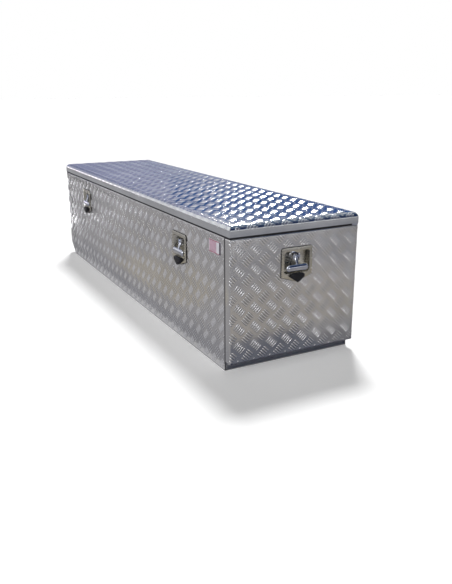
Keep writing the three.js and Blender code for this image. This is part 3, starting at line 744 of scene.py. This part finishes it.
def across_far_end(y):
    """True between the bare strips along the far end's upright edges"""
    return FRONT_Y + SHEET + BAR_MARGIN < y < REAR_Y - SHEET - BAR_MARGIN


def far_panel():
    """The far end, sunk by a bar's height so that its bars stay inside the chest's length"""
    bm = cad_copy("far_end_panel")
    for vert in bm.verts:
        if vert.co.x < FAR_X + ON_PLANE:
            vert.co.x += BAR_HEIGHT
    stand_in("far_panel", bm, "far_end_panel", "body", MATERIALS["tread_plate"])

    def on_wall(y, z):
        return across_far_end(y) and TOE_RISE + BAR_MARGIN < z < BODY_TOP - BAR_MARGIN

    box = (FRONT_Y, REAR_Y, 0, BODY_TOP)
    wall = flat_surface((FAR_X + BAR_HEIGHT, 0, 0), (0, 1, 0), (0, 0, 1), (-1, 0, 0))
    tread("far_tread_bars", "body", box, FAR_PATTERN, on_wall, wall)


def toe_tread():
    """Bars on the sloping toe. Their second coordinate runs up the slope."""
    slope = Vector((-TOE_RUN, 0, TOE_RISE))
    length = slope.length
    outward = (-TOE_RISE / length, 0, -TOE_RUN / length)

    def on_toe(y, s):
        return across_far_end(y) and BAR_MARGIN < s < length - BAR_MARGIN

    toe = flat_surface((FAR_X + TOE_RUN, 0, 0), (0, 1, 0), slope / length, outward)
    tread("toe_tread_bars", "body", (FRONT_Y, REAR_Y, 0, length), FAR_PATTERN, on_toe, toe)


def door_panel():
    """The door's pan with its four outer edges folded round"""
    bm = cad_copy("door_skin")

    def on_rim(p):
        near = (abs(p.y - DOOR[0].y), abs(p.y - DOOR[1].y), abs(p.z - DOOR[0].z), abs(p.z - DOOR[1].z))
        return min(near) < ON_PLANE

    def folded(edge):
        """True for the edges round the face and for those that run back from its corners"""
        a, b = (v.co for v in edge.verts)
        rim = on_rim(a) and on_rim(b)
        face = min(a.x, b.x) > DOOR_X - ON_PLANE
        back = abs(a.x - b.x) > SHEET * 2
        return rim and (face or back) and edge.calc_face_angle(0) > SMOOTH_ANGLE

    bmesh.ops.bevel(
        bm,
        geom=[edge for edge in bm.edges if folded(edge)],
        offset=DOOR_FOLD,
        segments=FOLD_SEGMENTS,
        profile=0.5,
        affect="EDGES",
        clamp_overlap=True,
    )
    stand_in("door_panel", bm, "door_skin", "door", SIDE_TREAD)


def folded_surface(face_x, y0, y1, radius):
    """The door's face with its two upright folds. u runs along the sheet, 0 at the middle."""
    half = (y1 - y0) / 2
    middle = (y0 + y1) / 2
    flat_half = half - radius
    arc = radius * math.pi / 2

    def surface(u, v):
        angle = np.clip(np.abs(u) - flat_half, 0, arc) / radius
        side = np.sign(u)
        over = np.maximum(np.abs(u) - flat_half - arc, 0)
        y = middle + side * (np.minimum(np.abs(u), flat_half) + radius * np.sin(angle))
        x = face_x - radius + radius * np.cos(angle) - over
        normal = np.stack([np.cos(angle), side * np.sin(angle), np.zeros_like(u)], 1)
        return np.stack([x, y, v], 1), normal

    return surface, flat_half + arc


def door_tread():
    surface, half = folded_surface(DOOR_X, DOOR[0].y, DOOR[1].y, DOOR_FOLD)
    middle = (DOOR[0].y + DOOR[1].y) / 2

    def on_door(u, z):
        inside = abs(u) < half and DOOR[0].z + DOOR_FOLD < z < DOOR[1].z - DOOR_FOLD
        return inside and not under_plate(u + middle, z, LOCK_PLATES["door_lock"], 1)

    tread("door_tread_bars", "door", (-half, half, DOOR[0].z, DOOR[1].z), DOOR_PATTERN, on_door, surface)


def lid_ring(inset, z):
    """The lid's four corners at a height, drawn in from its outline"""
    x0, x1 = LID_X0 + inset, LID_X1 - inset
    y0, y1 = LID_Y0 + inset, LID_Y1 - inset
    return [(x0, y0, z), (x1, y0, z), (x1, y1, z), (x0, y1, z)]


def rolled_profile(radius, bottom, top):
    """Points of a skirt and the roll above it, as (inset, z), up to the flat top"""
    rows = [(0, bottom)]
    for k in range(ROLL_STEPS + 1):
        angle = math.pi / 2 * k / ROLL_STEPS
        rows.append((radius * (1 - math.cos(angle)), top - radius + radius * math.sin(angle)))
    return rows


def lid_shell():
    """The lid's skin: from the underside of its top down the inside, then up the outside to the top"""
    inner = rolled_profile(LID_ROLL - SHEET, LID[0].z, LID_TOP - SHEET)
    outer = rolled_profile(LID_ROLL, LID[0].z, LID_TOP)
    rings = [lid_ring(SHEET + inset, z) for inset, z in reversed(inner)]
    rings += [lid_ring(inset, z) for inset, z in outer]
    return loft(rings)


def rolled_surface(u, v):
    """The lid's top with its four rolls, laid out flat from the middle of the lid"""
    middle_x, middle_y = (LID_X0 + LID_X1) / 2, (LID_Y0 + LID_Y1) / 2
    over_u = np.clip(np.abs(u) - LID_HALF_X, 0, ROLL_ARC) / LID_ROLL
    over_v = np.clip(np.abs(v) - LID_HALF_Y, 0, ROLL_ARC) / LID_ROLL
    angle = np.maximum(over_u, over_v)
    side_u = np.where(over_u > 0, np.sign(u), 0) * (over_u >= over_v)
    side_v = np.where(over_v > 0, np.sign(v), 0) * (over_v > over_u)
    x = middle_x + np.where(side_u != 0, side_u * (LID_HALF_X + LID_ROLL * np.sin(angle)), u)
    y = middle_y + np.where(side_v != 0, side_v * (LID_HALF_Y + LID_ROLL * np.sin(angle)), v)
    z = LID_TOP - LID_ROLL * (1 - np.cos(angle))
    normal = np.stack([side_u * np.sin(angle), side_v * np.sin(angle), np.cos(angle)], 1)
    return np.stack([x, y, z], 1), normal


def on_lid(u, v):
    """True on the flat top and the four rolls, but not where two rolls meet in a corner"""
    over_u, over_v = abs(u) - LID_HALF_X, abs(v) - LID_HALF_Y
    return min(over_u, over_v) < 0 and max(over_u, over_v) < ROLL_ARC


def lid():
    panel = mesh_object("lid_panel", *lid_shell(), "lid", LID_TREAD, "tread_plate")
    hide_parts("lid_skin")
    reach_x, reach_y = LID_HALF_X + ROLL_ARC, LID_HALF_Y + ROLL_ARC
    box = (-reach_x, reach_x, -reach_y, reach_y)
    tread("lid_tread_bars", "lid", box, LID_PATTERN, on_lid, rolled_surface, LID_TREAD, LID_BAR_HEIGHT)


def bead_rings(side_x, side_y):
    """A ground weld up one mitred corner of the lid, from the skirt's foot nearly to the flat top"""
    outward = Vector((side_x, side_y, 0)).normalized()
    aside = Vector((-outward.y, outward.x, 0))
    rings = []
    for k, (inset, z) in enumerate(rolled_profile(LID_ROLL, LID[0].z, LID_TOP)[:ROLL_STEPS]):
        x = LID_X1 - inset if side_x > 0 else LID_X0 + inset
        y = LID_Y1 - inset if side_y > 0 else LID_Y0 + inset
        tilt = math.pi / 2 * max(k - 1, 0) / ROLL_STEPS
        out = outward * math.cos(tilt) + Vector((0, 0, math.sin(tilt)))
        centre = Vector((x, y, z)) - out * BEAD * BEAD_SINK_SHARE
        rings.append([centre + (aside * c + out * s) * BEAD for c, s in circle(BEAD_SIDES)])
    return rings


def weld_beads():
    corners = ((1, -1), (1, 1), (-1, -1), (-1, 1))
    beads = joined(loft(bead_rings(*corner)) for corner in corners)
    mesh_object("lid_weld_beads", *beads, "lid", LID_TREAD, "tread_plate")


def seal_bead():
    """The lid's seal with a lip that fills the seam up to the chest's faces"""
    z0, z1 = SEAL[0].z, SEAL[0].z + SEAM
    front, rear = FRONT_Y + SEAL_RECESS, SEAL[1].y
    far, near = LID_X0 + SEAL_RECESS, DOOR_X - SEAL_RECESS
    width = SEAL[0].y - FRONT_Y + SEAL_LAP
    boxes = (
        ((far, front, z0), (near, front + width, z1)),
        ((far, front + width, z0), (far + width, rear, z1)),
        ((near - width, front + width, z0), (near, rear, z1)),
    )
    seal = mesh_object("seal_bead", *boxes_mesh(boxes), "lid", MATERIALS["rubber"], "rubber")
    bevel = seal.modifiers.new("round edges", "BEVEL")
    bevel.width = SEAL_ROUND
    bevel.segments = SEAL_ROUND_SEGMENTS
    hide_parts("lid_seal")


def seam_end():
    """The lid's closing tab at the rear end of the near seam"""
    low = (DOOR_X - SHEET - ON_PLANE, LID_Y1 - TAB_WIDTH, LID[0].z - SEAM)
    high = (DOOR_X - ON_PLANE, LID_Y1 - TAB_GAP, LID[0].z + ON_PLANE)
    mesh_object("seam_end_tab", *boxes_mesh([(low, high)]), "lid", MATERIALS["chrome"], "tread_plate")


def label_print():
    """Thin red lines along the label's top and foot, a dark bar down its near edge and a pale red field"""
    low, high = LABEL
    front = low.y - ON_PLANE
    bar = high.x - LABEL_BAR
    inner = LABEL_MARGIN + LABEL_LINE
    field_end = low.x + (high.x - low.x) * LABEL_FIELD_SHARE
    lines = (
        ((low.x, front, high.z - inner), (bar, low.y, high.z - LABEL_MARGIN)),
        ((low.x, front, low.z + LABEL_MARGIN), (bar, low.y, low.z + inner)),
    )
    edge = (((bar, front, low.z + LABEL_MARGIN), (high.x, low.y, high.z - LABEL_MARGIN)),)
    field = (((low.x + inner, front, low.z + inner), (field_end, low.y, high.z - inner)),)
    for name, boxes, paint in (
        ("label_border", lines, ink("red_ink", (0.3, 0.02, 0.06))),
        ("label_edge", edge, ink("dark_ink", (0.02, 0.006, 0.03))),
        ("label_panel", field, ink("pale_ink", (0.5, 0.33, 0.42))),
    ):
        mesh_object(name, *boxes_mesh(boxes), "body", paint, "label_film")


def lock_frame(name):
    """A lock's right, up and outward axes, from its spindle's axis on the panel's face"""
    if name == "door_lock":
        return Matrix(((0, 0, 1, DOOR_X), (1, 0, 0, 0), (0, 1, 0, SPINDLE_Z), (0, 0, 0, 1)))
    middle = sum(corner.x for corner in LOCK_PLATES[name]) / 2
    return Matrix(((1, 0, 0, middle), (0, 0, -1, FRONT_Y), (0, 1, 0, SPINDLE_Z), (0, 0, 0, 1)))


def rounded_outline(half_u, half_v, corner):
    """Points round a rectangle with round corners"""
    points = []
    quarter = RING_POINTS // 4
    for turn, (su, sv) in enumerate(((1, 1), (-1, 1), (-1, -1), (1, -1))):
        for k in range(quarter):
            angle = math.pi / 2 * (turn + k / (quarter - 1))
            u = su * (half_u - corner) + corner * math.cos(angle)
            v = sv * (half_v - corner) + corner * math.sin(angle)
            points.append((u, v))
    return points


def wing_rings():
    """The crossbar, rounded all round"""
    rings = []
    half_depth = (WING_FRONT - WING_BACK) / 2
    middle = (WING_FRONT + WING_BACK) / 2
    for step in range(WING_STEPS + 1):
        angle = math.pi * step / WING_STEPS
        inset = WING_HALF_HEIGHT * (1 - math.sin(angle)) * WING_INSET_SHARE
        outline = rounded_outline(WING_HALF_LENGTH - inset, WING_HALF_HEIGHT - inset, WING_CORNER - inset)
        depth = middle - half_depth * math.cos(angle)
        rings.append([(u, WING_CENTRE + v, depth) for u, v in outline])
    return rings


def stem_rings():
    """The stem: a teardrop that narrows from the boss to the crossbar"""
    rings = []
    for v, w, half_width, half_depth in STEM_STATIONS:
        tilt = Vector(STEM_TILT) * half_depth
        rings.append([Vector((half_width * c, v, w)) + tilt * s for c, s in circle(RING_POINTS)])
    return rings


def hub_rings():
    """The boss round the pin, a ball with its sides cut flat"""
    rings = []
    for share in HUB_SHARES:
        reach = HUB_RADIUS * math.sqrt(1 - HUB_ROUND_SHARE * share**2)
        side = HUB_HALF_WIDTH * share
        rings.append([(side, reach * s, PIN_DEPTH + reach * c) for c, s in circle(RING_POINTS)])
    return rings


def lock_handle(name):
    """A T-handle of crossbar, stem and boss"""
    verts, faces = joined(loft(rings) for rings in (wing_rings(), stem_rings(), hub_rings()))
    bm = bmesh.new()
    corners = [bm.verts.new(point) for point in verts]
    for face in faces:
        bm.faces.new([corners[k] for k in face])
    bmesh.ops.recalc_face_normals(bm, faces=bm.faces)
    bmesh.ops.transform(bm, matrix=lock_frame(name), verts=bm.verts)
    body = name.replace("_lock", "_handle")
    stand_in(name + "_wing", bm, name + "_handle", body, MATERIALS["chrome"])


def rivet_rings(centre, normal):
    """A domed rivet head, standing on the surface at centre"""
    across = normal.orthogonal().normalized()
    up = normal.cross(across)
    rings = []
    for width, rise in RIVET_SHARES:
        middle = centre + normal * RIVET_RISE * rise
        reach = RIVET_RADIUS * width
        rings.append([middle + (across * c + up * s) * reach for c, s in circle(RIVET_POINTS)])
    return rings


def rivets(name, body, spots, normal):
    """Rivet heads at spots, all facing along normal"""
    heads = joined(loft(rivet_rings(Vector(spot), Vector(normal))) for spot in spots)
    mesh_object(name, *heads, body, MATERIALS["plain_aluminium"], "plain_aluminium")


def spaced(low, high, count):
    """Places spread evenly between low and high, half a step away from both"""
    return [low + (high - low) * (k + 0.5) / count for k in range(count)]


def hinge_rivets():
    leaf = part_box("lid_hinge_body_leaf")
    lid_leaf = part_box("lid_hinge_lid_leaf")
    along = spaced(leaf[0].x, leaf[1].x, HINGE_RIVETS)
    row = leaf[0].y + RIVET_INSET
    top = leaf[0].z + LEAF
    rivets("lid_hinge_body_rivets", "body", [(x, row, top) for x in along], (0, 0, 1))
    shifted = [x + RIVET_INSET for x in along]
    rivets("lid_hinge_lid_rivets", "lid", [(x, row, lid_leaf[1].z - LEAF) for x in shifted], (0, 0, -1))


def camera():
    """The photograph's camera"""
    forward = Vector((-math.cos(YAW) * math.cos(PITCH), math.sin(YAW) * math.cos(PITCH), -math.sin(PITCH)))
    right = forward.cross(Vector((0, 0, 1))).normalized()
    up = right.cross(forward)
    right, up = (
        right * math.cos(ROLL) + up * math.sin(ROLL),
        up * math.cos(ROLL) - right * math.sin(ROLL),
    )
    data = bpy.data.cameras.new("camera")
    data.sensor_width = SENSOR
    data.lens = FOCAL_PIXELS * SENSOR / PHOTO_LONG_SIDE
    data.clip_end = CAMERA_REACH
    obj = bpy.data.objects.new("camera", data)
    obj.matrix_world = Matrix((right, up, -forward)).transposed().to_4x4()
    obj.location = CAMERA_PLACE
    bpy.context.scene.collection.objects.link(obj)
    bpy.context.scene.camera = obj


def facing(spot, aim):
    return (Vector(aim) - Vector(spot)).to_track_quat("-Z", "Y").to_euler()


def softbox(name, spot, aim, width, height, power):
    data = bpy.data.lights.new(name, "AREA")
    data.shape = "RECTANGLE"
    data.size = width
    data.size_y = height
    data.energy = power
    obj = bpy.data.objects.new(name, data)
    obj.location = spot
    obj.rotation_euler = facing(spot, aim)
    obj.visible_camera = False
    bpy.context.scene.collection.objects.link(obj)


def high_sun(direction, strength, angle):
    """A wide soft sun, so that the floor is lit evenly. direction points to where the light comes from."""
    data = bpy.data.lights.new("high_sun", "SUN")
    data.energy = strength
    data.angle = math.radians(angle)
    obj = bpy.data.objects.new("high_sun", data)
    obj.rotation_euler = Vector(direction).to_track_quat("Z", "Y").to_euler()
    bpy.context.scene.collection.objects.link(obj)


def seen_directly(tree):
    """1 for a camera ray or one that metal or glass sends on, otherwise 0"""
    path = tree.nodes.new("ShaderNodeLightPath")
    total = path.outputs["Is Camera Ray"]
    for kind in ("Is Glossy Ray", "Is Transmission Ray"):
        add = tree.nodes.new("ShaderNodeMath")
        add.operation = "ADD"
        add.use_clamp = True
        tree.links.new(total, add.inputs[0])
        tree.links.new(path.outputs[kind], add.inputs[1])
        total = add.outputs[0]
    return total


def white_room(level):
    """A world that reads as white and lights the scene at the level given"""
    world = bpy.data.worlds.new("room")
    world.use_nodes = True
    bpy.context.scene.world = world
    tree = world.node_tree
    back = tree.nodes["Background"]
    strength = tree.nodes.new("ShaderNodeMapRange")
    strength.inputs["To Min"].default_value = level
    strength.inputs["To Max"].default_value = 1.0
    tree.links.new(seen_directly(tree), strength.inputs["Value"])
    tree.links.new(strength.outputs["Result"], back.inputs["Strength"])
    back.inputs["Color"].default_value = (1, 1, 1, 1)


def pale_floor(reach, tone, lift):
    """A pale floor that reads as white where nothing shades it"""
    mesh = bpy.data.meshes.new("floor")
    corners = [(-reach, -reach, 0), (reach, -reach, 0), (reach, reach, 0), (-reach, reach, 0)]
    mesh.from_pydata(corners, [], [(0, 1, 2, 3)])
    obj = bpy.data.objects.new("floor", mesh)
    bpy.context.scene.collection.objects.link(obj)
    g = Graph("floor").set(Roughness=1.0, Specular_IOR_Level=0.0, Emission_Color=(1, 1, 1, 1))
    g.colour(g.mottle(g.noise(scale=3), dull=(tone,) * 3, bright=(tone + FLOOR_MOTTLE,) * 3))
    g.join(g.math("MULTIPLY", seen_directly(g.tree), lift), g.shader.inputs["Emission Strength"])
    mesh.materials.append(g.material)


def studio_card(name, spot, aim, size, *stops):
    """A coloured card that only shows in reflections. Its stops go from its foot to its top."""
    mesh = bpy.data.meshes.new(name)
    x, y = (side / 2 for side in size)
    mesh.from_pydata([(-x, -y, 0), (x, -y, 0), (x, y, 0), (-x, y, 0)], [], [(0, 1, 2, 3)])
    obj = bpy.data.objects.new(name, mesh)
    obj.location = spot
    obj.rotation_euler = facing(spot, aim)
    for kind in ("camera", "diffuse", "shadow", "volume_scatter"):
        setattr(obj, "visible_" + kind, False)
    bpy.context.scene.collection.objects.link(obj)
    g = Graph(name)
    glow = g.add("ShaderNodeEmission")
    g.join(g.ramp(g.axis(g.generated, "Y"), *stops), glow.inputs["Color"])
    g.join(glow.outputs[0], g.tree.nodes["Material Output"].inputs["Surface"])
    mesh.materials.append(g.material)


def lid_backdrop():
    """What the lid mirrors: lavender to the left, and to the right a card that goes from lavender at its
    foot through navy to white"""
    light, lavender, navy = (0.4, 0.42, 0.54), (0.25, 0.27, 0.43), (0.01, 0.07, 0.26)
    white, haze = (0.95, 1.0, 1.05), (0.6, 0.62, 0.72)
    right_stops = (
        (0.0, light),
        (0.26, light),
        (0.31, lavender),
        (0.37, lavender),
        (0.44, navy),
        (0.88, navy),
        (0.97, white),
        (1.0, white),
    )
    left_stops = ((0.0, lavender), (0.75, lavender), (1.0, haze))
    studio_card("back_card", (-18, 12.6, 4), (0, 0, 4), (14, 8), *right_stops)
    studio_card("haze_card", (-15.4, 0.8, 8), (0, 0, 8), (11, 16), *left_stops)


def cards():
    for name, spot, aim, size, foot, top in STANDING_CARDS:
        studio_card(name, spot, aim, size, (0.0, foot), (1.0, top))
    for name, (x0, x1), (y0, y1), height, colour in FLAT_CARDS:
        x, y = (x0 + x1) / 2, (y0 + y1) / 2
        size = (x1 - x0, y1 - y0)
        studio_card(name, (x, y, height), (x, y, FLAT_CARD_AIM), size, (0.0, colour), (1.0, colour))


def studio():
    camera()
    white_room(level=0.12)
    pale_floor(reach=60, tone=0.8, lift=0.27)
    high_sun(direction=(-0.52, 0.27, 0.85), strength=3.1, angle=12)
    softbox("front_fill", spot=(2.6, -3.4, 2.2), aim=(0.3, 0, 0.25), width=1.9, height=1.3, power=45)
    lid_backdrop()
    cards()
    bpy.context.scene.view_settings.view_transform = "Standard"


cad_nodes()
side_treads()
far_panel()
toe_tread()
door_panel()
door_tread()
lid()
weld_beads()
seal_bead()
seam_end()
label_print()
for lock_name in LOCKS:
    lock_handle(lock_name)
hinge_rivets()
studio()
